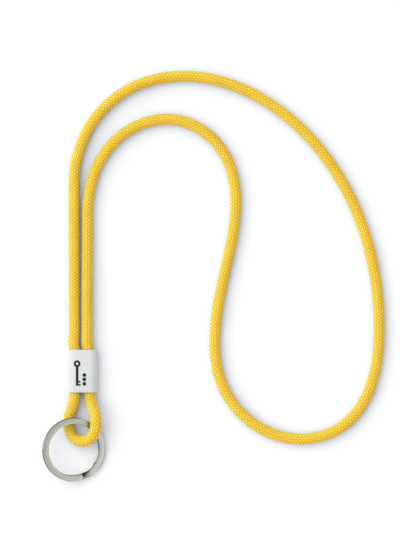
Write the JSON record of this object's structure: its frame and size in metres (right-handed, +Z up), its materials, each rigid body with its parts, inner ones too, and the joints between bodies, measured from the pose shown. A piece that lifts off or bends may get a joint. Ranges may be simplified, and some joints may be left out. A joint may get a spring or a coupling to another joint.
{
  "type": "lanyard",
  "caption": "Neck lanyard of round braided cord: a long loop gathered by a flattened metal sleeve, with a small lower loop that holds a flat-wire split ring.",
  "frame": {"origin": "on the table plane, under the middle of the sleeve, at the centre of the sleeve's flat back face", "axes": "+X to the right across the two strands, +Y from the sleeve towards the neck loop, +Z up from the table, out of the sleeve's printed face"},
  "size_m": [0.1713, 0.2058, 0.0116],
  "materials": {
    "braid": "tight diamond braid of filament polyester, yellow, with a slight sheen",
    "core_yarn": "undyed matt filler yarn",
    "fused_end": "polyester melted smooth by a hot cut",
    "sleeve_coat": "satin off-white powder coat with a small black print",
    "ring_nickel": "bright nickel plate on spring steel, fine handling scratches"
  },
  "bodies": {
    "sleeve": {"crimp_sleeve": "sleeve_coat", "through_strand_jacket": "braid", "through_strand_core_ply_1": "core_yarn", "through_strand_core_ply_2": "core_yarn", "through_strand_core_ply_3": "core_yarn", "upper_cord_end_jacket": "braid", "upper_cord_end_core_ply_1": "core_yarn", "upper_cord_end_core_ply_2": "core_yarn", "upper_cord_end_core_ply_3": "core_yarn", "upper_end_seal": "fused_end", "lower_end_seal": "fused_end", "lower_cord_end_jacket": "braid", "lower_cord_end_core_ply_1": "core_yarn", "lower_cord_end_core_ply_2": "core_yarn", "lower_cord_end_core_ply_3": "core_yarn"},
    "neck_loop": {"neck_cord_jacket": "braid", "neck_cord_core_ply_1": "core_yarn", "neck_cord_core_ply_2": "core_yarn", "neck_cord_core_ply_3": "core_yarn"},
    "lower_loop": {"lower_loop_jacket": "braid", "lower_loop_core_ply_1": "core_yarn", "lower_loop_core_ply_2": "core_yarn", "lower_loop_core_ply_3": "core_yarn"},
    "ring": {"split_ring": "ring_nickel"}
  },
  "joints": [
    {"name": "neck_fold", "type": "hinge", "parent": "sleeve", "child": "neck_loop", "pos_m": [0, 0.01395, 0.0037], "axis": [1, 0, 0], "range_deg": [-90, 90]},
    {"name": "lower_loop_fold", "type": "hinge", "parent": "sleeve", "child": "lower_loop", "pos_m": [0, -0.01395, 0.0037], "axis": [-1, 0, 0], "range_deg": [-65, 65]},
    {"name": "ring_swing", "type": "hinge", "parent": "lower_loop", "child": "ring", "pos_m": [-0.0069, -0.026, 0.00295], "axis": [0, 1, 0], "range_deg": [0, 95]}
  ]
}
